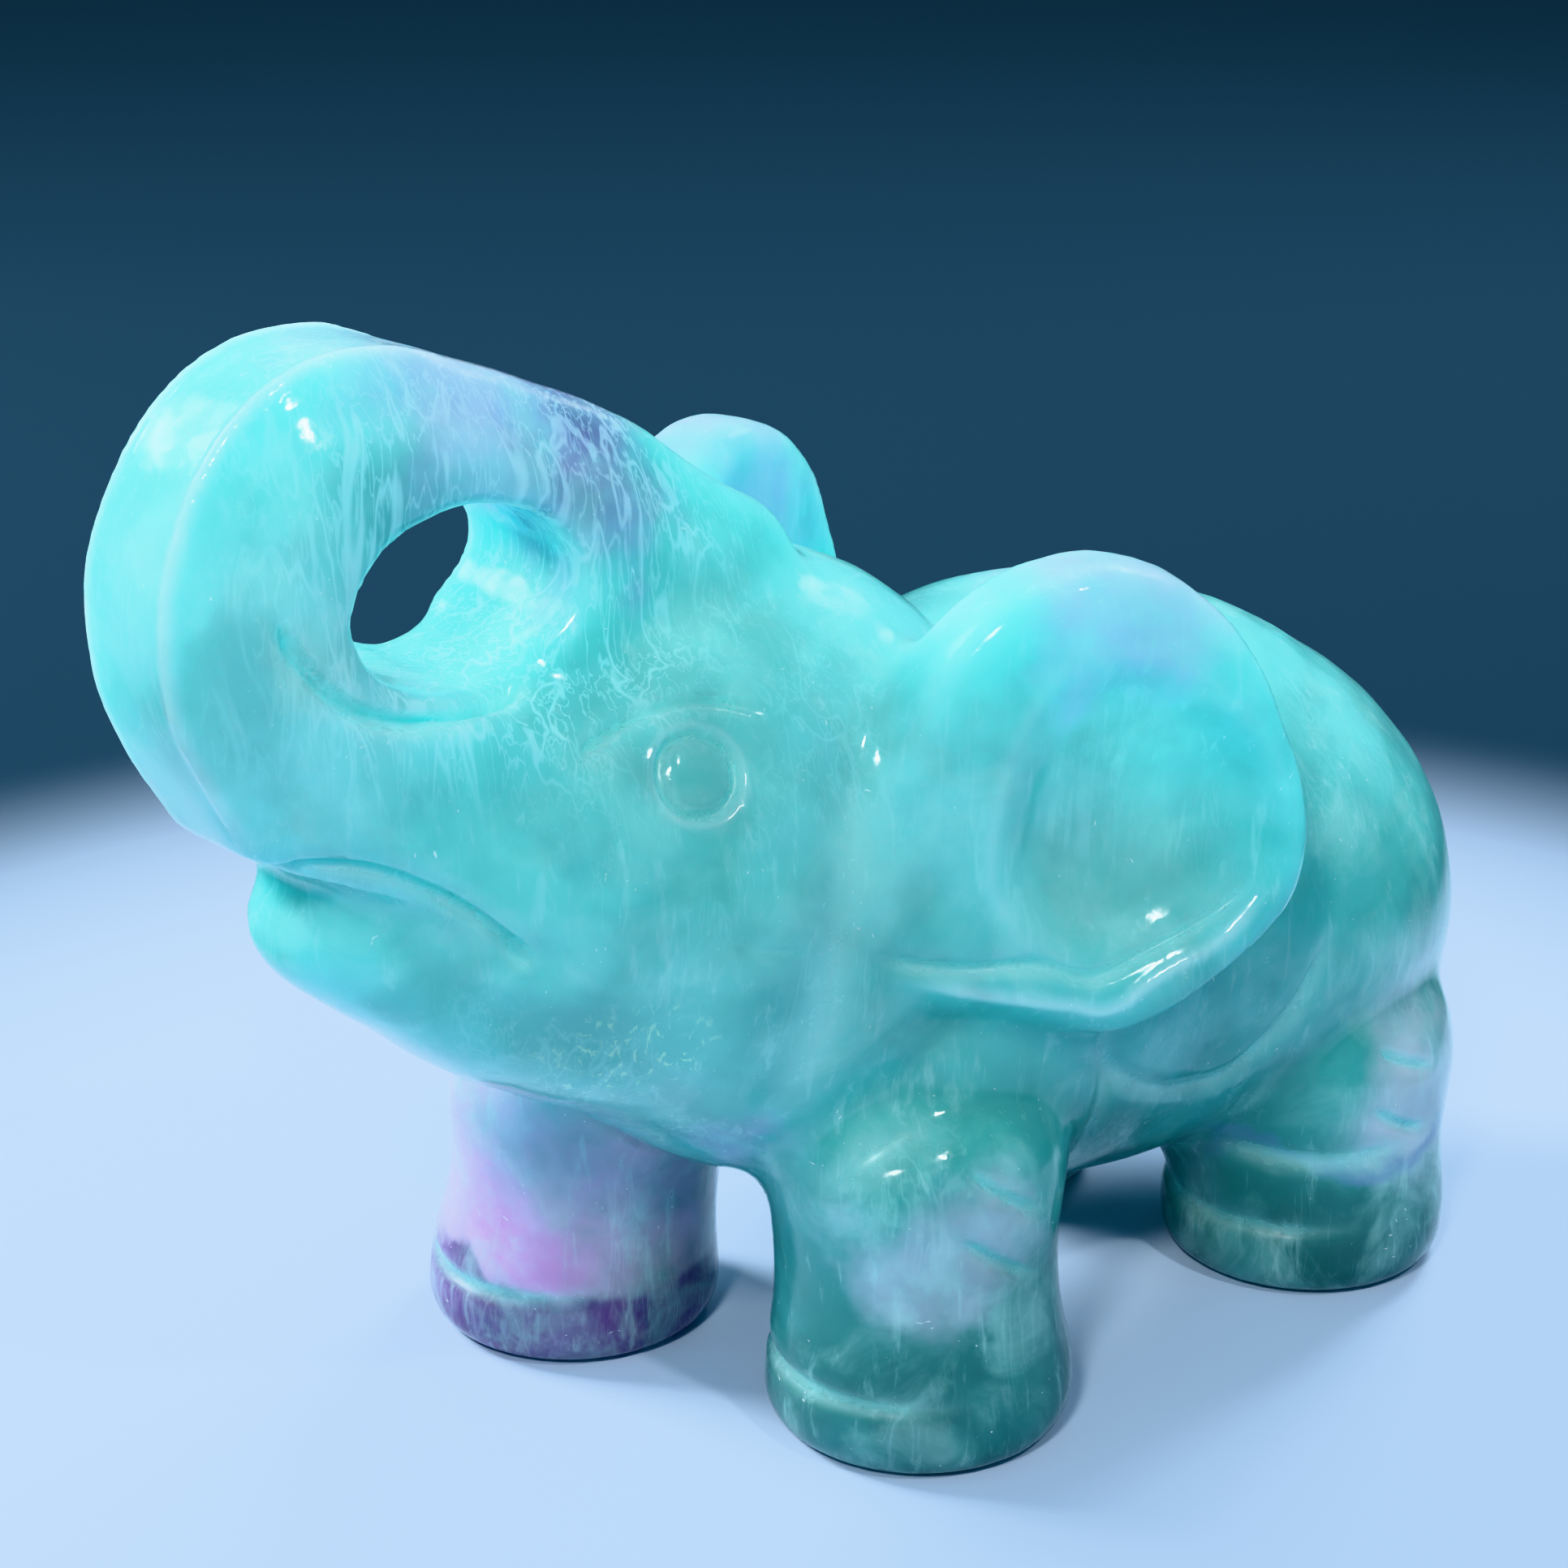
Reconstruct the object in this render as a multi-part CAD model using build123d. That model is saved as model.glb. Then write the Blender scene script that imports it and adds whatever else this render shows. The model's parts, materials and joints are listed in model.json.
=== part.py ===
"""Carved fluorite elephant with its trunk curled back over the forehead.

Millimetres, +Z up, +X towards the trunk, +Y towards the elephant's left side.
In life this is one solid stone. Here it is divided into its carved regions, and each
region is a solid that meets its neighbours face to face.
"""

import os

from build123d import *

# Driving dimensions. Places are from a point on the floor beside the left front foot.
FOOT_RADIUS = 7.0
TOE_HEIGHT = 3.3  # groove over the toes
NICK_HEIGHTS = (8.0, 11.2)  # cuts on the outside of each leg
NICK_RADIUS = 5.0
NICK_TILT = 14  # degrees
FLAP_THICKNESS = 4.8  # ears
EAR_ROUNDING = 1.2
EAR_DISH_RADIUS = 16.0
EAR_DISH_DEPTH = 1.4
EAR_DISH_PLACE = (1.2, 28.4)  # along the flap and up
EAR_SPLAY = 22  # degrees an ear swings out from the side of the neck
EYE_PLACE = (14.3, 8.8, 34.0)
EYE_FACING = (0.42, 0.82, 0.40)
EYE_RADIUS = 1.9  # outside of the ring left by the tube drill
EYE_DEPTH = 0.8
GROOVE = 0.5  # width of a cut made with the thin diamond disc
TRUNK_STRIP = 5.6  # flat strip along the outside of the trunk
TRUNK_BEVEL = 0.36  # share of the thickness taken by the bevels beside the strip
LOOP_MIDDLE = (22.0, 41.8)  # opening inside the curl of the trunk, x and z
LOOP_LENGTH = 12.4
LOOP_HEIGHT = 7.0
LOOP_TILT = 22  # degrees
LOOP_SKEW = 15  # degrees, forwards on the left side
MOUTH_MIDDLE = (22.6, 28.2)  # x and z
MOUTH_RISE = 24  # degrees
JAW_RISE = 30  # degrees
NECK_MIDDLE = (0.6, 23.5)  # x and z of the cut between the torso and the head
NECK_FACING = (0.90, 0.0, 0.43)

# Middle of each foot, then the middle of the leg where it enters the body.
# Both right feet are a part of a step ahead of the left ones.
LEGS = {
    "front_left_leg": ((1.2, 7.9), (0.4, 5.4)),
    "front_right_leg": ((7.2, -10.2), (3.4, -5.4)),
    "rear_left_leg": ((-24.8, 7.8), (-23.4, 6.0)),
    "rear_right_leg": ((-18.2, -9.8), (-20.0, -6.0)),
}


def heading_plane(x, z, degrees):
    """Section plane on the centre plane, square to a direction tilted up from +X."""
    forward = Vector(1, 0, 0).rotate(Axis.Y, -degrees)
    return Plane(origin=(x, 0, z), x_dir=(0, 1, 0), z_dir=forward)


def ellipse_loft(stations):
    """Solid through ellipses, each given as (plane, radius along its x, radius along its y)."""
    return loft([plane * Ellipse(across, tall) for plane, across, tall in stations])


def barrel(stations):
    """Body shape from upright ellipses, each given as (x, z of the middle, half width, half height)."""
    return ellipse_loft([(heading_plane(x, z, 0), wide, tall) for x, z, wide, tall in stations])


def torso_shape():
    return barrel(
        [
            (-37.6, 15.4, 2.6, 3.4),
            (-36.4, 15.5, 5.6, 6.6),
            (-34.0, 16.0, 8.6, 9.4),
            (-30.0, 17.2, 11.3, 11.5),
            (-25.0, 18.6, 12.9, 13.1),
            (-19.0, 19.8, 13.8, 14.2),
            (-13.0, 20.4, 13.9, 14.6),
            (-7.0, 20.4, 13.3, 14.0),
            (-1.0, 20.3, 12.2, 12.4),
            (4.0, 20.2, 10.4, 10.2),
            (7.8, 20.0, 6.6, 6.4),
        ]
    )


def head_shape():
    return barrel(
        [
            (-7.5, 25.4, 6.6, 8.0),
            (-4.0, 25.4, 9.2, 10.2),
            (-1.0, 25.4, 10.6, 12.6),
            (3.0, 25.4, 11.2, 14.4),
            (8.0, 26.2, 11.1, 14.4),
            (13.0, 27.5, 10.4, 12.4),
            (18.0, 28.9, 9.2, 9.9),
            (22.5, 30.0, 7.6, 7.6),
            (25.5, 30.8, 5.6, 5.0),
        ]
    )


def trunk_section(outer_x, outer_z, heading, width, thickness):
    """Section of the trunk hung inwards from a point on the middle of its outer strip."""
    inwards = Vector(-1, 0, 0).rotate(Axis.Y, -(heading - 90))
    middle = Vector(outer_x, 0, outer_z) + inwards * (thickness / 2)
    half = width / 2
    outside = -thickness / 2
    # a narrow flat strip outside, bevels, then flat sides and a flat inside
    bevel = (-half, outside + TRUNK_BEVEL * thickness)
    points = [(-TRUNK_STRIP / 2, outside), bevel, (-0.94 * half, -outside)]
    outline = points + [(-across, away) for across, away in reversed(points)]
    face = fillet(make_face(Polyline(*outline, close=True)).vertices(), 0.13 * thickness)
    return heading_plane(middle.X, middle.Z, heading) * face


def trunk_shape():
    """Bar that rises from the mouth, curls back over the face and lands on the forehead."""
    # outer strip x and z, heading, width across, thickness in the plane of the curl
    stations = [
        (25.4, 26.4, 38, 13.6, 11.8),
        (28.9, 29.2, 44, 13.2, 11.2),
        (31.9, 33.0, 56, 12.2, 10.4),
        (34.0, 37.6, 70, 11.6, 9.8),
        (34.8, 42.0, 90, 11.0, 9.4),
        (33.9, 45.8, 112, 10.6, 9.2),
        (31.4, 49.6, 136, 10.3, 9.0),
        (27.0, 51.8, 168, 10.0, 8.8),
        (22.0, 51.1, 192, 9.8, 8.6),
        (16.5, 49.0, 203, 9.7, 9.4),
        (11.8, 46.6, 210, 9.6, 10.4),
        (7.2, 43.3, 216, 9.2, 9.6),
        (4.0, 40.5, 222, 8.4, 7.6),
    ]
    return loft([trunk_section(*station) for station in stations])


def loop_cutter():
    """Opening through the curl of the trunk, wider towards both sides."""
    x, z = LOOP_MIDDLE
    ahead = Vector(1, 0, 0).rotate(Axis.Z, -LOOP_SKEW)
    right = Vector(0, -1, 0).rotate(Axis.Z, -LOOP_SKEW)
    plane = Plane(origin=(x, 0, z), x_dir=ahead, z_dir=right).rotated((0, 0, LOOP_TILT))
    # distance towards the right side, how far the rear end is drawn forwards, flare
    sections = [(-8.0, 0.8, 0.7), (-4.0, 0.6, 0.1), (0.0, 0.0, 0.0), (4.0, 0.0, 0.1), (8.0, 0.0, 0.8)]
    opening = []
    for offset, draw, flare in sections:
        outline = Pos(draw, 0) * Ellipse(LOOP_LENGTH / 2 - draw + flare, LOOP_HEIGHT / 2 + flare)
        opening.append(plane.offset(offset) * outline)
    return loft(opening)


def jaw_shape():
    """Wedge below the mouth, from the throat to the lip."""
    stations = [
        (9.0, 20.6, 8.8, 6.6),
        (14.0, 22.4, 7.8, 5.6),
        (19.2, 24.5, 6.6, 4.8),
        (22.8, 26.4, 5.6, 4.0),
        (25.8, 27.9, 4.5, 3.2),
        (27.6, 28.8, 3.5, 2.6),
        (28.6, 29.2, 2.3, 1.8),
    ]
    return ellipse_loft([(heading_plane(x, z, JAW_RISE), wide, tall) for x, z, wide, tall in stations])


def mouth_plane():
    """Plane between the jaw and the trunk, rising towards the lip."""
    rise = Vector(1, 0, 0).rotate(Axis.Y, -MOUTH_RISE)
    normal = Vector(0, 0, 1).rotate(Axis.Y, -MOUTH_RISE)
    x, z = MOUTH_MIDDLE
    return Plane(origin=(x, 0, z), x_dir=rise, z_dir=normal)


def mouth_groove(side):
    """Thin cut along a cheek that carries the slit of the mouth back over the head."""
    outline = [(-3.0, side * 7.4), (8.6, side * 2.6), (10.0, side * 12.0), (-3.0, side * 12.0)]
    face = mouth_plane().offset(GROOVE) * make_face(Polyline(*outline, close=True))
    return extrude(face, amount=3 * GROOVE, dir=-mouth_plane().z_dir)


def eye_ring(side):
    """Ring groove sunk by a tube drill square to the brow."""
    x, y, z = EYE_PLACE
    ahead, across, up = EYE_FACING
    plane = Plane(origin=(x, side * y, z), x_dir=(1, 0, 0), z_dir=(ahead, side * across, up))
    outer = plane * Cylinder(EYE_RADIUS, 2 * EYE_DEPTH)
    inner = plane * Cylinder(EYE_RADIUS - GROOVE, 2 * EYE_DEPTH + 0.1)
    return outer - inner


def ear_shape(side, x, y, lift):
    """Thick flap that stands off the neck, rounded all round and dished on its outside."""
    along = Vector(-1, 0, 0).rotate(Axis.Z, -EAR_SPLAY)
    outwards = Vector(0, 1, 0).rotate(Axis.Z, -EAR_SPLAY)
    plane = Plane(origin=(x, y, lift), x_dir=along, z_dir=outwards)
    # distance rearwards along the flap, height
    outline = [(-13.0, 31.0), (-9.2, 37.6), (-6.0, 40.3), (-2.4, 41.2), (1.6, 40.1), (4.9, 36.9), (6.9, 32.8)]
    outline += [(8.0, 28.2), (7.4, 25.2), (4.2, 22.2), (-0.8, 20.0), (-5.6, 21.5), (-11.6, 24.0)]
    flap = extrude(plane * make_face(Spline(*outline, periodic=True)), amount=-FLAP_THICKNESS)
    flap = fillet(flap.edges(), EAR_ROUNDING)
    flap -= plane * Pos(*EAR_DISH_PLACE, EAR_DISH_RADIUS - EAR_DISH_DEPTH) * Sphere(EAR_DISH_RADIUS)
    return flap if side > 0 else mirror(flap, about=Plane.XZ)


def leg_shape(name):
    """Column of level ellipses from a rounded foot up into the body."""
    foot, hip = LEGS[name]
    # height, share of the way from foot to hip, change of the foot radius along x and along y
    rings = [(0.0, 0.0, -0.9, -0.9), (0.9, 0.0, -0.1, -0.1), (3.0, 0.0, 0.0, 0.0)]
    if name.startswith("front"):
        rings += [(5.4, 0.05, -0.4, -0.4), (10.0, 0.15, -0.3, -0.5)]
        rings += [(15.0, 0.5, 0.4, -0.8), (20.0, 1.0, 0.6, -1.6)]
    else:
        rings += [(5.4, 0.05, -0.1, -0.2), (9.0, 0.15, 0.6, 0.0)]
        rings += [(13.0, 0.5, 1.4, -0.4), (18.0, 1.0, 1.4, -1.2)]
    stations = []
    for height, share, more_x, more_y in rings:
        x = foot[0] + share * (hip[0] - foot[0])
        y = foot[1] + share * (hip[1] - foot[1])
        stations.append((Plane(origin=(x, y, height)), FOOT_RADIUS + more_x, FOOT_RADIUS + more_y))
    return ellipse_loft(stations)


def toe_groove(name):
    """Shallow arc cut over the toes."""
    x, y = LEGS[name][0]
    return Pos(x + 0.8, y, TOE_HEIGHT) * Rot(0, 8, 0) * Torus(FOOT_RADIUS - 0.5, GROOVE * 0.7)


def knee_nicks(name):
    """Two short cuts of the thin disc on the outside of the leg, above the foot."""
    x, y = LEGS[name][0]
    out = 1 if y > 0 else -1
    reach = FOOT_RADIUS + 3.6
    nicks = []
    for height in NICK_HEIGHTS:
        disc = Rot(0, -NICK_TILT, 0) * Cylinder(NICK_RADIUS, GROOVE)
        nicks.append(Pos(x - 0.62 * reach, y + out * 0.78 * reach, height) * disc)
    return nicks


def tail_shape():
    """Low relief tail that hangs down the middle of the rump."""
    rings = [
        (-31.6, 26.6, 1.2),
        (-34.8, 23.4, 1.5),
        (-36.8, 19.8, 1.5),
        (-37.7, 15.6, 1.5),
        (-37.2, 11.4, 1.6),
        (-35.6, 8.2, 1.3),
    ]
    return loft([Plane(origin=(x, 0, z)) * Circle(r) for x, z, r in rings])


def largest(shape):
    """The region itself, without any crumb a cut leaves behind."""
    return shape.solids().sort_by(SortBy.VOLUME)[-1]


def regions():
    """Every region, each cut back where it meets the body or the head, then engraved."""
    x, z = NECK_MIDDLE
    neck = Plane(origin=(x, 0, z), x_dir=(0, 1, 0), z_dir=NECK_FACING)
    torso = split(torso_shape(), bisect_by=neck, keep=Keep.BOTTOM)
    head = split(head_shape(), bisect_by=neck, keep=Keep.TOP)
    jaw = split(jaw_shape(), bisect_by=mouth_plane(), keep=Keep.BOTTOM) - torso
    below_mouth = mouth_plane().offset(GROOVE) * Pos(0, 0, -20) * Box(80, 80, 40)
    carved = {
        "torso": torso,
        "head": head - jaw - loop_cutter(),
        "lower_jaw": jaw,
        "trunk": largest(trunk_shape() - [head, below_mouth]) - loop_cutter(),
        "left_ear": ear_shape(1, -4.6, 15.6, -0.6) - torso - head,
        "right_ear": ear_shape(-1, -3.8, 14.4, 0.9) - torso - head,
        "tail": tail_shape() - torso,
    }
    for side in (1, -1):
        carved["head"] = carved["head"] - eye_ring(side) - mouth_groove(side)
    for name in LEGS:
        leg = largest(leg_shape(name) - torso - head - jaw)
        for cut in [toe_groove(name)] + knee_nicks(name):
            leg = leg - cut
        carved[name] = leg
    return {name: largest(shape) for name, shape in carved.items()}


def centred(shapes):
    """Stand the stone on z = 0 with its box centred on the origin."""
    boxes = [shape.bounding_box() for shape in shapes.values()]
    middle_x = (min(box.min.X for box in boxes) + max(box.max.X for box in boxes)) / 2
    middle_y = (min(box.min.Y for box in boxes) + max(box.max.Y for box in boxes)) / 2
    shift = Vector(-middle_x, -middle_y, -min(box.min.Z for box in boxes))
    return {name: shape.moved(Location(shift)) for name, shape in shapes.items()}


os.makedirs("parts", exist_ok=True)
for name, shape in centred(regions()).items():
    export_step(shape, f"parts/{name}.step")
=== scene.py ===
"""Looks of the carved fluorite elephant: one continuous polished stone with its engraved lines."""

import json
import math
from collections import namedtuple

import bmesh
import bpy
import numpy as np
from mathutils import Matrix, Vector
from mathutils.bvhtree import BVHTree


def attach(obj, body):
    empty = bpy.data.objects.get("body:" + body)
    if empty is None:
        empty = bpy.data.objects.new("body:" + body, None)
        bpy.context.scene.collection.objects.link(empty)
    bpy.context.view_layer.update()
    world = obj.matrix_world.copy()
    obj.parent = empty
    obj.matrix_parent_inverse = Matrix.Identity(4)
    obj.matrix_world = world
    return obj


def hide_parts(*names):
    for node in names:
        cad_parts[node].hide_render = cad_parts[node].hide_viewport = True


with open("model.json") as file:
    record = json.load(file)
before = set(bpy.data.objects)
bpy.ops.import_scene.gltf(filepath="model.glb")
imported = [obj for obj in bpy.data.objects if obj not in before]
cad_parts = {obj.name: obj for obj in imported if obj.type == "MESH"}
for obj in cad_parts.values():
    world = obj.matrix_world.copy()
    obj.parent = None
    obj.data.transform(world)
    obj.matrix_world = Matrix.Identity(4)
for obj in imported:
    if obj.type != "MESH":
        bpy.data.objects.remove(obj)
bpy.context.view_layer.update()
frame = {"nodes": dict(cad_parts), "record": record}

MM = 0.001
VOXEL = 0.44 * MM
BLEND_RADIUS = 0.75 * MM  # how far neighbouring regions are filled into each other
POLISH_ROUNDS = 5
FLAT_SOLE = 0.12 * MM  # skin this close to the floor is laid flat on it

# Places below are in millimetres from the carver's datum. The left front sole sits at
# (1.2, 7.9) from it, so everything follows that sole wherever the frame puts it.
FEET = {
    "front_left": (1.2, 7.9),
    "front_right": (7.2, -10.2),
    "rear_left": (-24.8, 7.8),
    "rear_right": (-18.2, -9.8),
}
FOOT_RADIUS = 7.0
sole = next(m for m in frame["record"]["mounts"] if m["name"] == "sole")["pos_m"]
DATUM = np.array([sole[0] - FEET["front_left"][0] * MM, sole[1] - FEET["front_left"][1] * MM, 0.0])


# ---------------------------------------------------------------- mesh helpers


def apply_modifiers(obj):
    """Replace obj's mesh with the modified one."""
    graph = bpy.context.evaluated_depsgraph_get()
    mesh = bpy.data.meshes.new_from_object(obj.evaluated_get(graph))
    old = obj.data
    obj.modifiers.clear()
    obj.data = mesh
    bpy.data.meshes.remove(old)


def per_vertex(mesh, what):
    """One vector of every vertex: "co" for its place in frame metres, or "normal"."""
    out = np.empty(len(mesh.vertices) * 3)
    mesh.vertices.foreach_get(what, out)
    return out.reshape(-1, 3)


def move_to(mesh, places):
    """Move every vertex to its new place in frame metres."""
    mesh.vertices.foreach_set("co", places.ravel())
    mesh.update()


def swell(obj, amount):
    """Move the vertices out along their normals, by one amount or by one for each."""
    step = np.reshape(amount, (-1, 1))
    move_to(obj.data, per_vertex(obj.data, "co") + per_vertex(obj.data, "normal") * step)


def datum_mm(mesh):
    """Vertex places in datum millimetres."""
    return (per_vertex(mesh, "co") - DATUM) / MM


def smoothstep(low, high, value):
    """0 up to low, 1 from high on, and an even curve between them."""
    t = np.clip((value - low) / (high - low), 0.0, 1.0)
    return t * t * (3.0 - 2.0 * t)


# ---------------------------------------------------------------- stone body


def remesh(obj):
    """Rebuild the skin as one even mesh."""
    modifier = obj.modifiers.new("Remesh", "REMESH")
    modifier.mode = "VOXEL"
    modifier.voxel_size = VOXEL
    apply_modifiers(obj)


def relax(obj, rounds):
    """Smooth the skin a little."""
    modifier = obj.modifiers.new("Smooth", "SMOOTH")
    modifier.factor = 0.5
    modifier.iterations = rounds
    apply_modifiers(obj)


def joined_stone(names):
    """One object that holds a copy of every carved region of the frame."""
    bm = bmesh.new()
    for name in names:
        bm.from_mesh(frame["nodes"][name].data)
    mesh = bpy.data.meshes.new("carved_elephant")
    bm.to_mesh(mesh)
    bm.free()
    obj = bpy.data.objects.new("carved_elephant", mesh)
    bpy.context.scene.collection.objects.link(obj)
    return obj


def fuse(obj):
    """Melt the regions into one skin with filled, rounded junctions."""
    remesh(obj)
    swell(obj, BLEND_RADIUS)
    remesh(obj)
    swell(obj, -BLEND_RADIUS)
    remesh(obj)
    relax(obj, POLISH_ROUNDS)


# ---------------------------------------------------------------- soft forms

# middle, radius, height; each is also made on the right side at the matching place
SWELLINGS = [
    ((20.0, 4.6, 38.4), 2.6, 0.45),  # brow
    ((3.2, 11.6, 16.0), 5.0, 0.55),  # shoulder
    ((-24.0, 12.6, 17.0), 6.5, 0.6),  # haunch
    ((-12.5, 13.4, 16.0), 3.6, -0.55),  # hollow of the flank
    ((12.0, 9.6, 29.5), 3.6, 0.35),  # cheek
    ((-6.5, 12.5, 9.8), 2.6, -0.5),  # behind the elbow
]

# Faint waviness of hand lapping: height in mm, then two crossed waves, each as its radians
# per millimetre along x, y and z and its starting angle
LAPPING_WAVES = [
    (0.05, (0.55, 0.0, 0.3), 1.1, (0.0, -0.35, 0.42), 0.4),
    (0.03, (0.7, 0.0, 1.15), 2.0, (-0.6, 0.95, 0.0), 0.0),
]
SOLE_FADE = (0.6, 3.0)  # mm above the floor between which the soft forms set in

# Outline of the hollow in the left ear, x and z
DISH = [(-0.4, 35.8), (0.8, 33.4), (1.5, 30.6), (1.6, 27.7), (0.4, 25.3), (-1.9, 23.3), (-4.6, 22.9)]
DISH += [(-8.4, 23.9), (-11.0, 26.3), (-11.3, 29.4), (-9.6, 32.8), (-6.8, 35.8), (-3.4, 37.0)]
DISH_DEPTH = 1.0
DISH_EDGE = (-0.2, 2.4)  # mm inside the outline between which the hollow reaches its depth
EAR_FROM_MIDDLE = 9.5  # mm from the middle plane beyond which the skin can be an ear's
OUTWARD = 0.25  # least sideways share of the normal on the outer face of an ear
RIGHT_EAR_SHIFT = (0.8, 1.2, 1.5)  # how the right ear differs from the mirrored left one


def swell_softly(obj):
    """Round out or hollow the muscles, and leave the faint waviness of hand lapping."""
    spots = datum_mm(obj.data)
    lift = np.zeros(len(spots))
    for (x, y, z), radius, height in SWELLINGS:
        for side in (1, -1):
            away = np.linalg.norm(spots - np.array([x, side * y, z]), axis=1)
            lift += height * np.exp(-((away / radius) ** 2))
    for height, first, first_start, second, second_start in LAPPING_WAVES:
        lift += height * np.sin(spots @ first + first_start) * np.sin(spots @ second + second_start)
    lift *= smoothstep(*SOLE_FADE, spots[:, 2])
    swell(obj, lift * MM)


def hollow_ears(obj):
    """Sink the dish in the outer face of each ear."""
    spots = datum_mm(obj.data)
    sideways = per_vertex(obj.data, "normal")[:, 1]
    sink = np.zeros(len(spots))
    for side, shift in ((1, (0.0, 0.0, 0.0)), (-1, RIGHT_EAR_SHIFT)):
        edge = spline([(x + shift[0], 0.0, z + shift[2]) for x, z in DISH], closed=True)[:, [0, 2]]
        near = np.where((side * spots[:, 1] > EAR_FROM_MIDDLE) & (side * sideways > OUTWARD))[0]
        flat = spots[near][:, [0, 2]]
        away = np.min(np.linalg.norm(flat[:, None] - edge[None], axis=2), axis=1)
        inside = crossings(flat, edge) % 2 == 1
        sink[near] += DISH_DEPTH * smoothstep(*DISH_EDGE, np.where(inside, away, -away))
    swell(obj, -sink * MM)


def crossings(points, outline):
    """How often a ray from each 2-D point crosses the closed outline."""
    count = np.zeros(len(points), int)
    for (x0, z0), (x1, z1) in zip(outline, np.roll(outline, -1, axis=0)):
        spans = (z0 > points[:, 1]) != (z1 > points[:, 1])
        if z1 != z0:
            count += spans & (points[:, 0] < (x1 - x0) * (points[:, 1] - z0) / (z1 - z0) + x0)
    return count


# ---------------------------------------------------------------- engraving

CURVE_STEP = 0.12  # mm between the points that an engraved line is followed by
FINE_WIDTH = 0.4  # mm, half width below which a line needs the finest mesh
LONG_EDGE = 0.26 * MM  # longest mesh edge left beside any line
SHORT_EDGE = 0.16 * MM  # longest mesh edge left beside a fine line
REFINED_REACH = 2.2  # half widths of a line within which the mesh is refined
SHAPED_REACH = 3.0  # half widths of a line within which the skin is moved
WORKED_DEPTH = 0.35  # mm of cutting that leaves the stone fully frosted

# A line has a half width and a depth in mm. A negative depth raises a ridge. Its fade is the
# share of its length over which it runs out at both ends.
Line = namedtuple("Line", "points width depth fade closed", defaults=(False,))


def spline(points, closed=False):
    """Dense points along a smooth curve through the given ones."""
    knots = np.array(points, float)
    if closed:
        knots = np.vstack([knots[-1], knots, knots[:2]])
    else:
        knots = np.vstack([2 * knots[0] - knots[1], knots, 2 * knots[-1] - knots[-2]])
    out = []
    for a, b, c, d in zip(knots, knots[1:], knots[2:], knots[3:]):
        count = max(2, int(np.linalg.norm(c - b) / CURVE_STEP))
        t = np.linspace(0, 1, count, endpoint=False)[:, None]
        bend = (2 * a - 5 * b + 4 * c - d) * t**2 + (3 * b - a - 3 * c + d) * t**3
        out.append(b + ((c - a) * t + bend) / 2)
    if not closed:
        out.append(knots[-2:-1])
    return np.vstack(out)


def ring(middle, facing, radius):
    """Closed circle of points on the plane square to facing."""
    axis = Vector(facing).normalized()
    across = axis.cross(Vector((0, 0, 1))).normalized()
    up = across.cross(axis)
    turns = [math.radians(angle) for angle in range(0, 360, 30)]
    return [tuple(Vector(middle) + radius * (math.cos(a) * across + math.sin(a) * up)) for a in turns]


EYE = (14.2, 8.7, 34.0)
EYE_FACING = (0.42, 0.82, 0.40)
EYE_RADIUS = 1.72
EYE_RIM_RADIUS = 2.1

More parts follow.
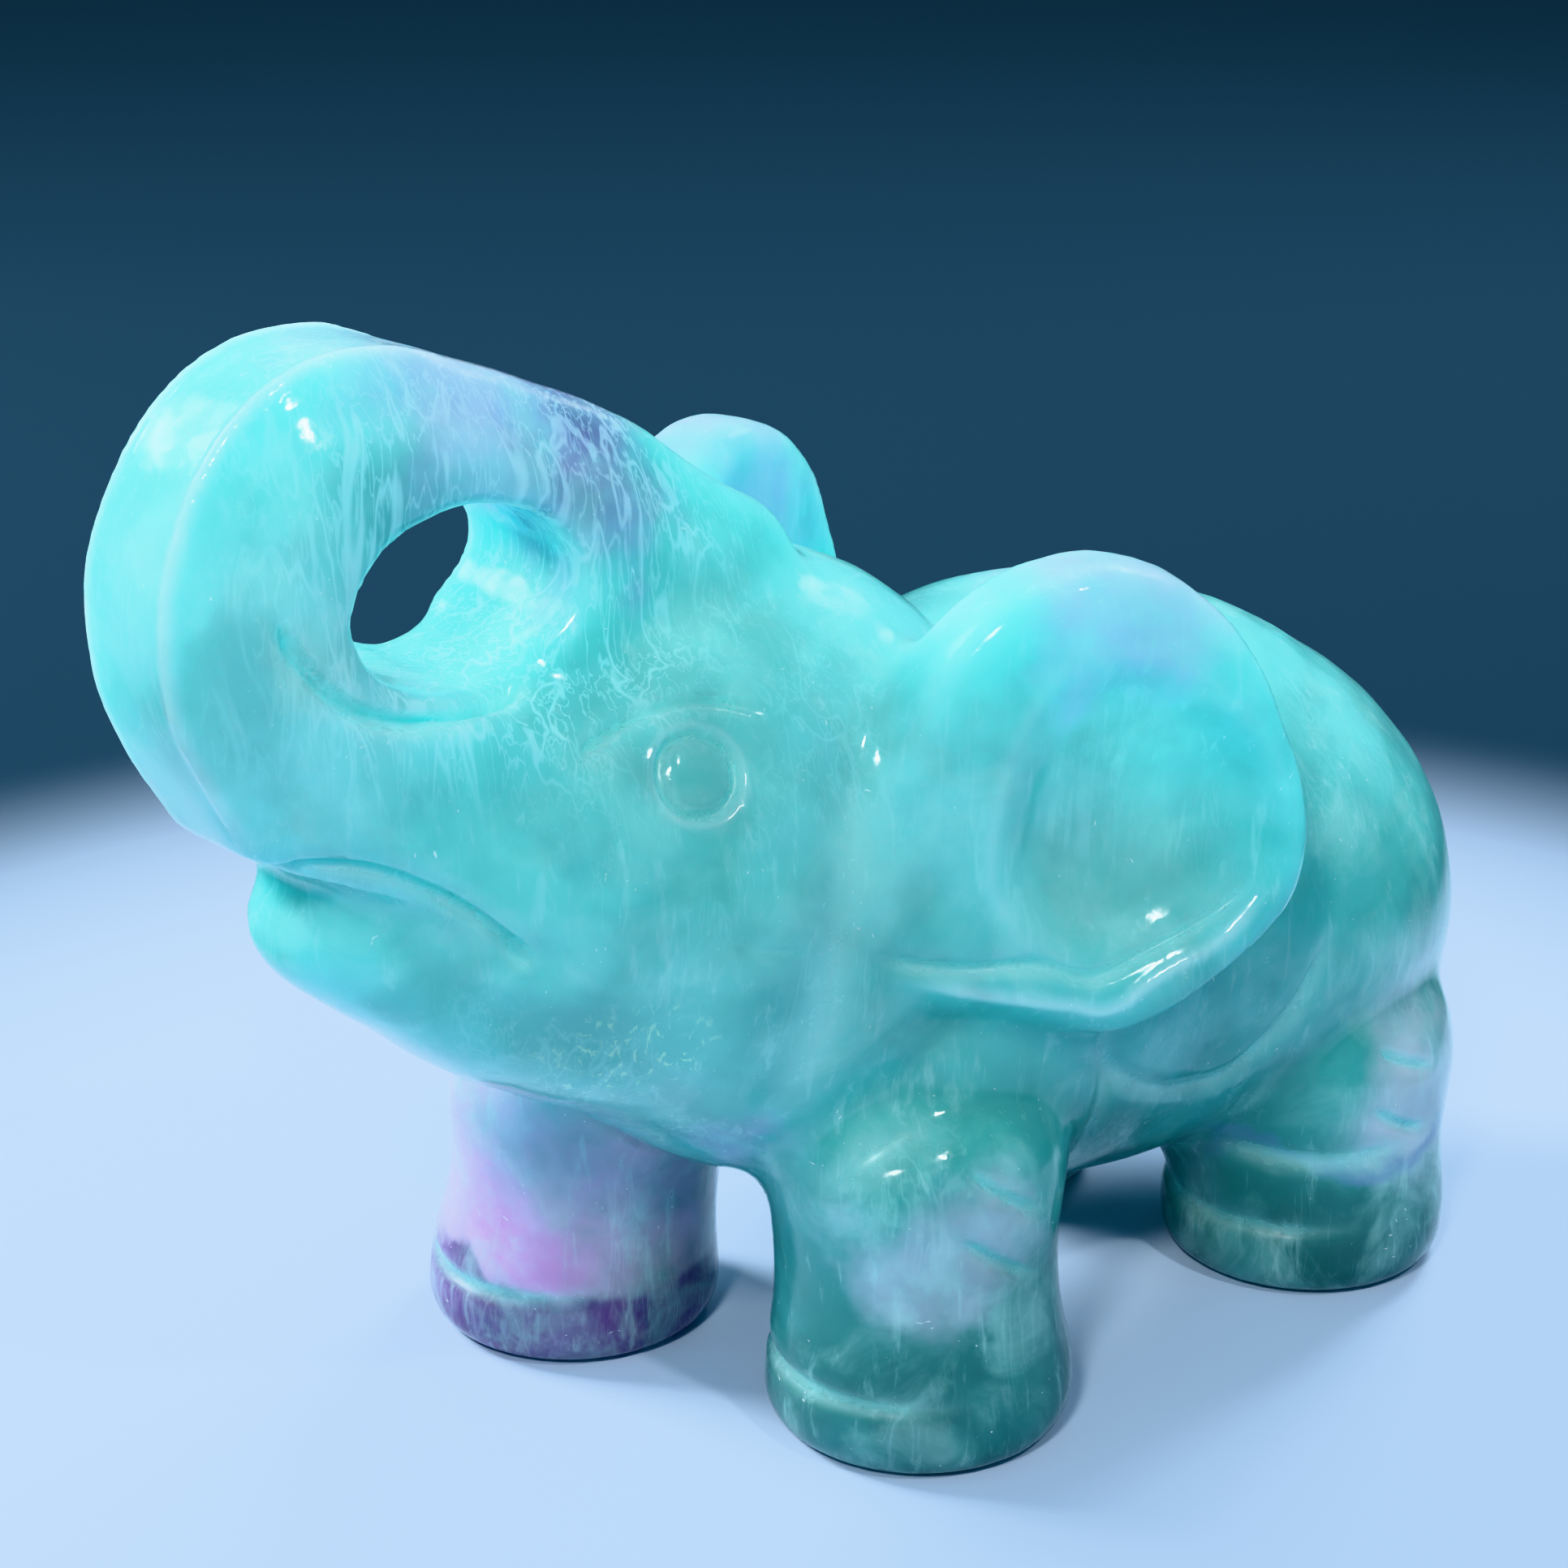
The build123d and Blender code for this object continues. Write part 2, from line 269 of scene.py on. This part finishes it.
# Lines of the left side, each also made on the right
SIDE_LINES = [
    # eye and its raised rim
    Line(ring(EYE, EYE_FACING, EYE_RADIUS), 0.26, 0.42, 0.0, closed=True),
    Line(ring(EYE, EYE_FACING, EYE_RIM_RADIUS), 0.2, -0.1, 0.0, closed=True),
    # lid
    Line([(19.2, 6.4, 34.6), (18.4, 6.8, 35.5), (16.0, 6.7, 36.3), (13.4, 7.1, 36.6),
          (11.6, 7.7, 36.2), (10.3, 8.5, 35.3)], 0.27, 0.48, 0.2),
    # lower edge of the trunk and cheek over the mouth, down to the corner of the mouth
    Line([(30.9, 1.6, 32.6), (29.6, 4.2, 32.6), (27.6, 5.6, 32.2), (25.6, 6.2, 31.0),
          (23.6, 6.8, 29.4), (22.2, 7.1, 27.8), (21.4, 7.3, 26.6)], 0.34, 0.62, 0.12),
    # lip
    Line([(30.2, 1.3, 30.9), (29.2, 3.2, 31.0), (27.6, 4.4, 30.7), (26.0, 5.1, 30.1)], 0.28, 0.4, 0.2),
    # arc on the cheek
    Line([(14.4, 10.1, 27.3), (12.4, 10.5, 26.4), (9.9, 10.9, 26.0)], 0.22, 0.13, 0.3),
    # line under the loop of the trunk
    Line([(31.4, 5.3, 43.8), (30.9, 5.4, 42.2), (30.2, 5.5, 41.0), (28.6, 5.7, 39.2),
          (26.9, 5.8, 38.3), (25.3, 5.8, 37.9), (23.2, 5.6, 37.9), (21.2, 4.8, 37.9),
          (19.2, 4.0, 38.3)], 0.4, 0.9, 0.15),
    # crisp edge of the strip along the outside of the trunk, and the groove beside it
    Line([(30.7, 2.8, 32.3), (31.9, 3.0, 34.1), (33.4, 2.9, 36.8), (34.2, 2.8, 38.7),
          (34.6, 2.8, 40.7), (34.4, 2.8, 43.8), (33.2, 2.7, 47.1), (32.0, 2.7, 48.9),
          (30.0, 2.7, 50.6), (27.5, 2.6, 51.4), (24.4, 2.4, 51.4), (20.0, 2.2, 50.2)],
         0.36, -0.24, 0.15),
    Line([(30.0, 3.6, 32.4), (31.2, 3.8, 34.4), (32.7, 3.9, 37.2), (33.6, 3.9, 40.9),
          (33.2, 3.9, 44.0), (31.9, 3.8, 47.2), (29.6, 3.8, 49.6), (26.8, 3.7, 50.4)],
         0.45, 0.1, 0.2),
    # soft fold between the cheek and the neck
    Line([(6.6, 9.2, 34.3), (7.9, 10.5, 30.7), (8.7, 11.0, 26.4), (9.5, 10.1, 21.2),
          (10.1, 7.1, 16.3)], 1.3, 0.3, 0.3),
    # flank fold, from the tip of the ear round to the haunch
    Line([(-4.4, 14.3, 19.8), (-6.0, 12.6, 16.6), (-8.6, 12.4, 14.6), (-11.4, 12.3, 13.4),
          (-14.0, 12.4, 13.4), (-16.0, 13.0, 15.2), (-17.6, 13.6, 18.0), (-18.8, 13.9, 20.9)],
         0.55, 0.36, 0.15),
    # back edge of the front leg
    Line([(-4.2, 14.4, 19.6), (-5.6, 12.8, 16.6), (-6.3, 11.6, 13.6), (-6.6, 10.2, 11.2)],
         0.5, 0.3, 0.25),
    # front edge of the shoulder
    Line([(8.2, 8.4, 12.6), (7.2, 10.0, 14.6), (5.2, 11.2, 15.9), (3.0, 11.9, 16.4)],
         0.7, 0.32, 0.3),
    # crease where the haunch meets the foot
    Line([(-17.6, 7.6, 8.0), (-18.6, 11.4, 7.6), (-21.6, 14.4, 7.4), (-25.0, 15.2, 7.6)],
         0.6, 0.42, 0.25),
]

# Lines of the left ear, each also made on the right one where that ear is
EAR_LINES = [
    # upper edge of the ledge along the bottom of the ear
    Line([(7.4, 11.0, 25.2), (6.2, 11.3, 24.5), (3.3, 12.4, 23.7), (-0.1, 13.8, 23.4),
          (-2.6, 14.6, 22.5), (-5.5, 15.3, 23.4), (-8.3, 16.3, 24.7), (-10.3, 17.3, 26.6)],
         0.36, 0.45, 0.15),
    # crest of the ledge
    Line([(5.4, 11.5, 23.4), (2.8, 12.4, 22.7), (0.6, 13.3, 22.0), (-1.6, 14.2, 21.4),
          (-3.2, 14.8, 21.0), (-5.6, 15.3, 22.0), (-8.3, 16.5, 23.3), (-10.6, 17.4, 25.6)],
         0.36, -0.26, 0.15),
    # crest along the front of the dish
    Line([(-2.6, 14.6, 37.3), (-0.4, 13.9, 36.2), (1.1, 13.3, 33.5), (1.9, 13.0, 30.6),
          (2.0, 12.9, 27.6), (0.8, 13.4, 25.0), (-1.4, 14.3, 23.2)], 0.4, -0.1, 0.25),
]

# Pairs of short cuts on the outside of a leg, each point from the middle of its foot
LEG_CUTS = {
    "front": [
        [(2.4, 4.6, 14.8), (0.5, 5.8, 13.2), (-2.3, 5.9, 11.3)],
        [(3.0, 5.3, 11.9), (0.9, 6.0, 10.2), (-1.8, 6.0, 8.4)],
    ],
    "rear": [
        [(2.2, 5.6, 12.9), (0.6, 6.2, 12.0), (-1.9, 6.2, 10.9)],
        [(2.8, 6.2, 10.2), (0.8, 6.6, 8.9), (-1.6, 6.4, 7.8)],
    ],
}
LEG_CUT_WIDTH = 0.3
LEG_CUT_DEPTH = 0.5
LEG_CUT_FADE = 0.3

# The groove over the toes runs from the inside of the foot round the front to its outside
TOE_GROOVE_START = -80  # degrees from straight ahead
TOE_GROOVE_STOP = 76
TOE_GROOVE_POINTS = 9
TOE_GROOVE_HEIGHT = 3.9
TOE_GROOVE_DROP = 0.3  # how much lower it is at the front
TOE_GROOVE_WIDTH = 0.4
TOE_GROOVE_DEPTH = 0.42
TOE_GROOVE_FADE = 0.35


def on_right(line, shift=(0.0, 0.0, 0.0)):
    """The matching line on the right side of the body."""
    dx, dy, dz = shift
    return line._replace(points=[(x + dx, dy - y, z + dz) for x, y, z in line.points])


def foot_lines(foot):
    """The groove over the toes and the two short cuts of one leg."""
    x, y = FEET[foot]
    side = 1 if y > 0 else -1
    groove = []
    for angle in np.radians(np.linspace(TOE_GROOVE_START, TOE_GROOVE_STOP, TOE_GROOVE_POINTS)):
        ahead, aside = FOOT_RADIUS * math.cos(angle), FOOT_RADIUS * math.sin(angle)
        level = TOE_GROOVE_HEIGHT - TOE_GROOVE_DROP * math.cos(angle)
        groove.append((x + ahead, y + side * aside, level))
    lines = [Line(groove, TOE_GROOVE_WIDTH, TOE_GROOVE_DEPTH, TOE_GROOVE_FADE)]
    for cut in LEG_CUTS[foot.split("_")[0]]:
        points = [(x + ahead, y + side * aside, level) for ahead, aside, level in cut]
        lines.append(Line(points, LEG_CUT_WIDTH, LEG_CUT_DEPTH, LEG_CUT_FADE))
    return lines


def carved_lines():
    """Every engraved line of the stone."""
    lines = []
    for line in SIDE_LINES:
        lines += [line, on_right(line)]
    for line in EAR_LINES:
        lines += [line, on_right(line, RIGHT_EAR_SHIFT)]
    for foot in FEET:
        lines += foot_lines(foot)
    return lines


def followed(surface, line):
    """Dense points of a line, dropped onto the nearest place of the surface, in metres."""
    dense = spline(line.points, line.closed) * MM + DATUM
    return np.array([surface.find_nearest(Vector(point))[0] for point in dense])


def distances(spots, track, reach):
    """Vertices within reach of a track, their distance to it and the share along it."""
    low, high = track.min(axis=0) - reach, track.max(axis=0) + reach
    near = np.where(np.all((spots > low) & (spots < high), axis=1))[0]
    if not len(near):
        return near, np.zeros(0), np.zeros(0)
    gap = np.linalg.norm(spots[near][:, None] - track[None], axis=2)
    closest = np.argmin(gap, axis=1)
    return near, gap[np.arange(len(near)), closest], closest / max(1, len(track) - 1)


def surface_of(mesh):
    """The mesh as it is now, for finding the nearest place on it."""
    return BVHTree.FromPolygons([v.co for v in mesh.vertices], [p.vertices for p in mesh.polygons])


def refine(obj, tracks, longest):
    """Split the edges close to the tracks that are longer than the given length."""
    spots = per_vertex(obj.data, "co")
    close = np.zeros(len(spots), bool)
    for line, track in tracks:
        reach = REFINED_REACH * line.width * MM
        near, gap, _ = distances(spots, track, reach)
        close[near[gap < reach]] = True
    bm = bmesh.new()
    bm.from_mesh(obj.data)
    bm.verts.ensure_lookup_table()
    edges = []
    for edge in bm.edges:
        a, b = edge.verts
        if close[a.index] and close[b.index] and edge.calc_length() > longest:
            edges.append(edge)
    bmesh.ops.subdivide_edges(bm, edges=edges, cuts=1, use_grid_fill=True)
    bm.to_mesh(obj.data)
    bm.free()


def engrave(obj):
    """Cut and raise every line, and note on each vertex how much of it was worked."""
    surface = surface_of(obj.data)
    tracks = [(line, followed(surface, line)) for line in carved_lines()]
    refine(obj, tracks, LONG_EDGE)
    refine(obj, [(line, track) for line, track in tracks if line.width < FINE_WIDTH], SHORT_EDGE)
    spots = per_vertex(obj.data, "co")
    sink = np.zeros(len(spots))
    rise = np.zeros(len(spots))
    for line, track in tracks:
        near, gap, along = distances(spots, track, SHAPED_REACH * line.width * MM)
        shape = np.exp(-((gap / (line.width * MM)) ** 2))
        if line.fade:
            shape *= smoothstep(0.0, line.fade, along) * smoothstep(0.0, line.fade, 1.0 - along)
        if line.depth > 0:
            sink[near] = np.maximum(sink[near], line.depth * shape)
        else:
            rise[near] = np.maximum(rise[near], -line.depth * shape)
    swell(obj, (rise - sink) * MM)
    for name, height in (("cut", sink), ("crest", rise)):
        worked = obj.data.attributes.new(name, "FLOAT", "POINT")
        worked.data.foreach_set("value", np.clip(height / WORKED_DEPTH, 0.0, 1.0))


def stand(obj):
    """Keep the soles flat on the floor."""
    spots = per_vertex(obj.data, "co")
    spots[:, 2] = np.where(spots[:, 2] < FLAT_SOLE, 0.0, spots[:, 2])
    move_to(obj.data, spots)


regions = sorted(frame["nodes"])
stone = joined_stone(regions)
fuse(stone)
swell_softly(stone)
hollow_ears(stone)
engrave(stone)
stand(stone)
for polygon in stone.data.polygons:
    polygon.use_smooth = True

# ---------------------------------------------------------------- fluorite


def tint(red, green, blue):
    """Display colour, each 0 to 255, as the linear colour that a socket takes."""
    parts = [c / 255 for c in (red, green, blue)]
    return tuple(c / 12.92 if c <= 0.04045 else ((c + 0.055) / 1.055) ** 2.4 for c in parts) + (1.0,)


class Nodes:
    """Short ways to add and join nodes in one material."""

    def __init__(self, material):
        material.use_nodes = True
        self.tree = material.node_tree
        self.shader = self.tree.nodes["Principled BSDF"]

    def add(self, kind, inputs, **settings):
        """A node whose inputs are linked to a socket or set to a value."""
        node = self.tree.nodes.new(kind)
        for name, value in settings.items():
            setattr(node, name, value)
        for key, value in inputs.items():
            self.feed(node, key, value)
        return node

    def feed(self, node, key, value):
        """Link an input to a socket, or set it to a value."""
        if isinstance(value, bpy.types.NodeSocket):
            self.tree.links.new(value, node.inputs[key])
        else:
            node.inputs[key].default_value = value

    def place(self):
        """The place on the object, in its own coordinates."""
        return self.add("ShaderNodeTexCoord", {}).outputs["Object"]

    def maths(self, operation, first, second):
        return self.add("ShaderNodeMath", {0: first, 1: second}, operation=operation).outputs[0]

    def vector(self, operation, *values):
        return self.add("ShaderNodeVectorMath", dict(enumerate(values)), operation=operation)

    def noise(self, where, scale, detail=4.0, roughness=0.5, distortion=0.0):
        settings = {"Vector": where, "Scale": scale, "Detail": detail, "Roughness": roughness}
        settings["Distortion"] = distortion
        return self.add("ShaderNodeTexNoise", settings)

    def ramp(self, value, low, high, to_low=0.0, to_high=1.0):
        inputs = {0: value, 1: low, 2: high, 3: to_low, 4: to_high}
        return self.add("ShaderNodeMapRange", inputs, interpolation_type="SMOOTHSTEP").outputs[0]

    def noise_ramp(self, noise, low, high, to_low=0.0, to_high=1.0):
        """The strength of a noise, spread between two values."""
        return self.ramp(noise.outputs[0], low, high, to_low, to_high)

    def blend(self, share, first, second):
        node = self.add("ShaderNodeMix", {0: share, 6: first, 7: second}, data_type="RGBA")
        return node.outputs[2]

    def tinted(self, colour, shade, share, strength):
        """The colour with a display colour laid over it."""
        return self.blend(self.maths("MULTIPLY", share, strength), colour, tint(*shade))

    def zone(self, where, middle, radius, core=0.25):
        """1 near the middle, falling to 0 at the radius."""
        away = self.vector("DISTANCE", where, middle).outputs["Value"]
        return self.ramp(away, radius, radius * core)

    def threads(self, where, scale, thickness, distortion):
        """Thin wandering lines."""
        level = self.noise(where, scale, 2.5, 0.55, distortion).outputs[0]
        off = self.maths("ABSOLUTE", self.maths("SUBTRACT", level, 0.5), 0.0)
        return self.ramp(off, thickness, 0.0)


STIRRING = 11.0  # mm over which the zones of colour are swirled
# The stone darkens down towards the soles: partly its own colour, partly painted shade of the lower
# body.
SOLE_SHADE = (2, 94, 96)
# display colour, and the heights in mm between which the stone turns to it
RISING_SHADES = [
    ((6, 136, 136), 1.0, 10.0),
    ((46, 184, 184), 8.0, 20.0),
    ((64, 206, 210), 18.0, 34.0),
]
# display colour, middle in datum millimetres, radius, strength
CLOUDS = [
    ((84, 196, 194), (14.0, 8.0, 24.0), 13.0, 0.55),  # face
    ((118, 208, 220), (30.0, 3.0, 40.0), 11.0, 0.6),  # front of the trunk
    ((100, 206, 212), (4.0, 10.0, 32.0), 11.0, 0.5),  # neck
    ((110, 200, 200), (-5.0, 15.0, 30.0), 8.0, 0.6),  # hollow of the ear
    ((172, 170, 225), (20.0, 0.0, 48.5), 9.5, 0.7),  # top of the trunk
    ((100, 60, 156), (15.2, 1.0, 48.6), 5.4, 0.95),  # violet over the tip of the trunk
    ((142, 124, 195), (14.6, 4.6, 45.2), 4.8, 0.6),  # and its paler side
    ((168, 188, 230), (-4.0, 15.0, 39.0), 6.5, 0.75),  # rim of the left ear
    ((168, 184, 230), (-2.5, -13.0, 38.0), 9.0, 0.75),  # right ear
    ((176, 182, 222), (-14.0, 2.0, 35.0), 8.0, 0.5),  # back
    ((214, 178, 222), (8.0, -10.0, 8.0), 12.0, 1.0),  # right front leg
    ((192, 104, 186), (12.4, -8.0, 6.6), 4.8, 0.65),  # pink patch low on it
    ((168, 182, 208), (4.0, 13.0, 10.2), 5.2, 0.6),  # left front leg
    ((176, 192, 216), (-26.0, 14.0, 10.0), 6.5, 0.75),  # left rear leg
    ((150, 150, 205), (9.6, 6.0, 15.0), 4.0, 0.55),  # chest beside the leg
    ((120, 125, 195), (-30.0, -6.0, 22.0), 8.0, 0.5),  # right rump
    ((150, 160, 215), (-20.0, -12.0, 8.0), 8.0, 0.5),  # right rear leg
]
VIOLET = (92, 30, 118)
ANKLE_BLUE = (66, 112, 172)
PALE_CLOUD = (150, 228, 226)
DEEP_CLOUD = (22, 150, 158)
VEIL = (190, 230, 240)
STREAK = (165, 232, 236)
FLECK = (158, 236, 205)
SPECK = (225, 245, 245)
FROSTED_CUT = (150, 226, 226)
# painted highlight along the raised crests of the carving
CREST_HIGHLIGHT = (185, 228, 240)


def zones(n, stirred):
    """Aqua that deepens down the legs, partly the stone's own colour and partly painted shade, with
    lavender and violet zones in it.
    """
    height = n.add("ShaderNodeSeparateXYZ", {0: stirred}).outputs["Z"]
    colour = tint(*SOLE_SHADE)
    for shade, low, high in RISING_SHADES:
        colour = n.blend(n.ramp(height, low, high), colour, tint(*shade))
    for shade, middle, radius, strength in CLOUDS:
        colour = n.tinted(colour, shade, n.zone(stirred, middle, radius), strength)
    right_front_foot = n.zone(stirred, (9.0, -10.0, 0.6), 11.0, 0.6)
    colour = n.tinted(colour, VIOLET, right_front_foot, n.ramp(height, 5.4, 3.8))
    band = n.maths("MULTIPLY", n.ramp(height, 6.0, 7.2), n.ramp(height, 8.6, 7.4))
    left_rear_ankle = n.zone(stirred, (-23.0, 12.0, 7.4), 8.5, 0.6)
    return n.tinted(colour, ANKLE_BLUE, n.maths("MULTIPLY", band, left_rear_ankle), 0.6)


def slow_clouds(n, spot, colour):
    """Pale and deep clouds in the depth of the stone."""
    pale = n.noise_ramp(n.noise(spot, 0.22, 5.0, 0.6, 0.6), 0.44, 0.72)
    colour = n.tinted(colour, PALE_CLOUD, pale, 0.32)
    deep = n.noise_ramp(n.noise(spot, 0.13, 3.0, 0.5, 0.4), 0.52, 0.36)
    return n.tinted(colour, DEEP_CLOUD, deep, 0.25)


def cottony_veils(n, spot, stirred):
    """How much of a leaning white thread is at a place, most of them over the curl."""
    turned = {"Vector": spot, "Rotation": (0.35, 0.75, 0.0), "Scale": (1.0, 0.8, 0.16)}
    leaning = n.add("ShaderNodeMapping", turned).outputs[0]
    thick = n.threads(leaning, 0.5, 0.03, 0.5)
    hair = n.maths("MULTIPLY", n.threads(leaning, 1.7, 0.04, 0.4), 0.7)
    patches = n.noise_ramp(n.noise(spot, 0.2, 2.0), 0.45, 0.62)
    near_curl = n.zone(stirred, (20.0, 4.0, 45.0), 15.0, 0.45)
    amount = n.maths("MAXIMUM", n.maths("MULTIPLY", near_curl, 0.8), n.maths("MULTIPLY", patches, 0.22))
    return n.maths("MULTIPLY", n.maths("MAXIMUM", thick, hair), amount)


def streaks_and_flecks(n, spot, stirred, colour):
    """Streaks down the stone, and a patch of pale green flecks on the jaw."""
    drawn_out = n.vector("MULTIPLY", spot, (1.0, 1.0, 0.16)).outputs[0]
    streak = n.noise_ramp(n.noise(drawn_out, 1.3, 4.0, 0.6, 0.4), 0.56, 0.72)
    colour = n.tinted(colour, STREAK, streak, 0.22)
    fleck = n.noise_ramp(n.noise(drawn_out, 2.6, 3.0, 0.6, 0.8), 0.57, 0.66)
    jaw = n.zone(stirred, (17.2, 7.2, 21.8), 5.4, 0.3)
    return n.tinted(colour, FLECK, n.maths("MULTIPLY", fleck, jaw), 0.6)


def specks(n, spot, stirred, colour):
    """Bright specks just under the skin."""
    cells = n.add("ShaderNodeTexVoronoi", {"Vector": stirred, "Scale": 1.3})
    speck = n.ramp(cells.outputs["Distance"], 0.11, 0.04)
    chosen = n.noise_ramp(n.noise(spot, 0.5, 2.0), 0.54, 0.6)
    return n.tinted(colour, SPECK, n.maths("MULTIPLY", speck, chosen), 0.75)


def polished_skin(n, spot, veils, cut):
    """Roughness, clearness and relief: a smeared polish with fine scratches and frosted cuts."""
    smear = n.noise_ramp(n.noise(spot, 0.7, 5.0, 0.65, 0.5), 0.4, 0.75, 0.07, 0.22)
    n.feed(n.shader, "Roughness", n.maths("ADD", smear, n.maths("MULTIPLY", cut, 0.2)))
    clear = n.noise_ramp(n.noise(spot, 0.18, 3.0), 0.35, 0.7, 0.06, 0.32)
    unveiled = n.maths("SUBTRACT", 1.0, veils)
    n.feed(n.shader, "Transmission Weight", n.maths("MULTIPLY", clear, unveiled))
    ripple = n.noise(spot, 0.8, 3.0, 0.5).outputs[0]
    drawn_out = n.vector("MULTIPLY", spot, (1.0, 5.0, 1.6)).outputs[0]
    scratch = n.noise(drawn_out, 3.2, 3.0, 0.7).outputs[0]
    relief = n.maths("ADD", ripple, n.maths("MULTIPLY", scratch, 0.12))
    bump = n.add("ShaderNodeBump", {"Strength": 0.35, "Distance": 0.06 * MM, "Height": relief})
    n.feed(n.shader, "Normal", bump.outputs[0])


def fluorite():
    """Cloudy aqua stone with lavender zones, cottony veils and a polished skin."""
    material = bpy.data.materials.new("fluorite")
    n = Nodes(material)
    spot = n.vector("MULTIPLY_ADD", n.place(), (1 / MM,) * 3, tuple(-DATUM / MM)).outputs[0]
    swirl = n.vector("SUBTRACT", n.noise(spot, 0.16, 4.0, 0.55).outputs["Color"], (0.5,) * 3).outputs[0]
    stirred = n.vector("MULTIPLY_ADD", swirl, (STIRRING,) * 3, spot).outputs[0]

    colour = slow_clouds(n, spot, zones(n, stirred))
    veils = cottony_veils(n, spot, stirred)
    colour = n.tinted(colour, VEIL, veils, 0.42)
    colour = streaks_and_flecks(n, spot, stirred, colour)
    colour = specks(n, spot, stirred, colour)
    cut = n.add("ShaderNodeAttribute", {}, attribute_name="cut").outputs["Fac"]
    crest = n.add("ShaderNodeAttribute", {}, attribute_name="crest").outputs["Fac"]
    colour = n.tinted(colour, FROSTED_CUT, cut, 0.5)
    # Painted highlight: the raised crests are lightened as if they caught the light.
    colour = n.tinted(colour, CREST_HIGHLIGHT, crest, 0.5)
    greener = {"Hue": 0.487, "Saturation": 0.8, "Value": 1.0, "Color": colour}
    n.feed(n.shader, "Base Color", n.add("ShaderNodeHueSaturation", greener).outputs[0])
    polished_skin(n, spot, veils, cut)

    n.feed(n.shader, "IOR", 1.43)
    n.feed(n.shader, "Subsurface Weight", 0.9)
    n.feed(n.shader, "Subsurface Scale", 9.5 * MM)
    n.feed(n.shader, "Subsurface Radius", (0.42, 0.97, 1.0))
    return material


stone.data.materials.clear()
stone.data.materials.append(fluorite())
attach(stone, "root")
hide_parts(*regions)

# ---------------------------------------------------------------- stage

FLOOR_RADIUS = 8.0  # metres
PALE_RADIUS = 46 * MM
SLATE_RADIUS = 98 * MM
PALE_FLOOR = (168, 190, 216)
SLATE_FLOOR = (26, 40, 52)

VIEW_AZIMUTH = math.radians(140)
VIEW_ELEVATION = math.radians(20)
VIEW_DISTANCE = 155 * MM
VIEW_FIELD = math.radians(26)
VIEW_TARGET = (0.0, -3.0, 27.0)  # datum millimetres

# name, place in metres, size in metres, watts, colour, whether its reflection shows
LAMPS = [
    ("key", (0.30, 0.20, 0.34), 0.07, 2.3, (1.0, 0.99, 0.97), True),
    ("spark", (0.02, 0.34, 0.42), 0.03, 1.4, (1.0, 1.0, 1.0), True),
    ("back", (0.14, -0.30, 0.24), 0.16, 6.5, (0.93, 0.98, 1.0), False),
    ("rear", (-0.30, -0.10, 0.26), 0.16, 3.2, (0.9, 0.96, 1.0), False),
]
LAMP_TARGET = (0.0, 0.0, 0.025)
SKY_COLOUR = (0.30, 0.52, 0.72, 1.0)
SKY_STRENGTH = 0.95
EXPOSURE = -0.62


def add_floor():
    """Wide floor, pale round the stone and slate blue away from it."""
    mesh = bpy.data.meshes.new("floor")
    bm = bmesh.new()
    bmesh.ops.create_circle(bm, cap_ends=True, segments=96, radius=FLOOR_RADIUS)
    bm.to_mesh(mesh)
    bm.free()
    floor = bpy.data.objects.new("floor", mesh)
    bpy.context.scene.collection.objects.link(floor)
    material = bpy.data.materials.new("floor")
    n = Nodes(material)
    from_middle = n.vector("LENGTH", n.place()).outputs["Value"]
    darkening = n.ramp(from_middle, PALE_RADIUS, SLATE_RADIUS)
    n.feed(n.shader, "Base Color", n.blend(darkening, tint(*PALE_FLOOR), tint(*SLATE_FLOOR)))
    n.feed(n.shader, "Roughness", 0.6)
    n.feed(n.shader, "Specular IOR Level", 0.2)
    mesh.materials.append(material)
    return floor


def look(obj, origin, target):
    """Put obj at origin with its -Z towards target and its X level."""
    back = (Vector(origin) - Vector(target)).normalized()
    obj.matrix_world = Matrix.Translation(origin) @ back.to_track_quat("Z", "Y").to_matrix().to_4x4()


def add_camera():
    """The camera, to the left of the stone and ahead of it."""
    camera = bpy.data.objects.new("camera", bpy.data.cameras.new("camera"))
    bpy.context.scene.collection.objects.link(camera)
    camera.data.lens = camera.data.sensor_width / 2 / math.tan(VIEW_FIELD / 2)
    camera.data.clip_start = 5 * MM
    target = Vector(DATUM + np.array(VIEW_TARGET) * MM)
    level = math.cos(VIEW_ELEVATION)
    towards = (math.sin(VIEW_AZIMUTH) * level, -math.cos(VIEW_AZIMUTH) * level, math.sin(VIEW_ELEVATION))
    look(camera, target + Vector(towards) * VIEW_DISTANCE, target)
    bpy.context.scene.camera = camera


def add_lamp(name, position, size, power, colour, reflected):
    """A round soft lamp aimed at the stone."""
    lamp = bpy.data.lights.new(name, "AREA")
    lamp.shape = "DISK"
    lamp.size = size
    lamp.energy = power
    lamp.color = colour
    obj = bpy.data.objects.new(name, lamp)
    bpy.context.scene.collection.objects.link(obj)
    obj.visible_glossy = reflected
    look(obj, Vector(position), Vector(LAMP_TARGET))


def add_sky():
    """Even bluish light from all round."""
    world = bpy.data.worlds.new("world")
    world.use_nodes = True
    background = world.node_tree.nodes["Background"]
    background.inputs["Color"].default_value = SKY_COLOUR
    background.inputs["Strength"].default_value = SKY_STRENGTH
    bpy.context.scene.world = world


add_floor()
add_camera()
for settings in LAMPS:
    add_lamp(*settings)
add_sky()
bpy.context.scene.view_settings.view_transform = "Khronos PBR Neutral"
bpy.context.scene.view_settings.look = "None"
bpy.context.scene.view_settings.exposure = EXPOSURE
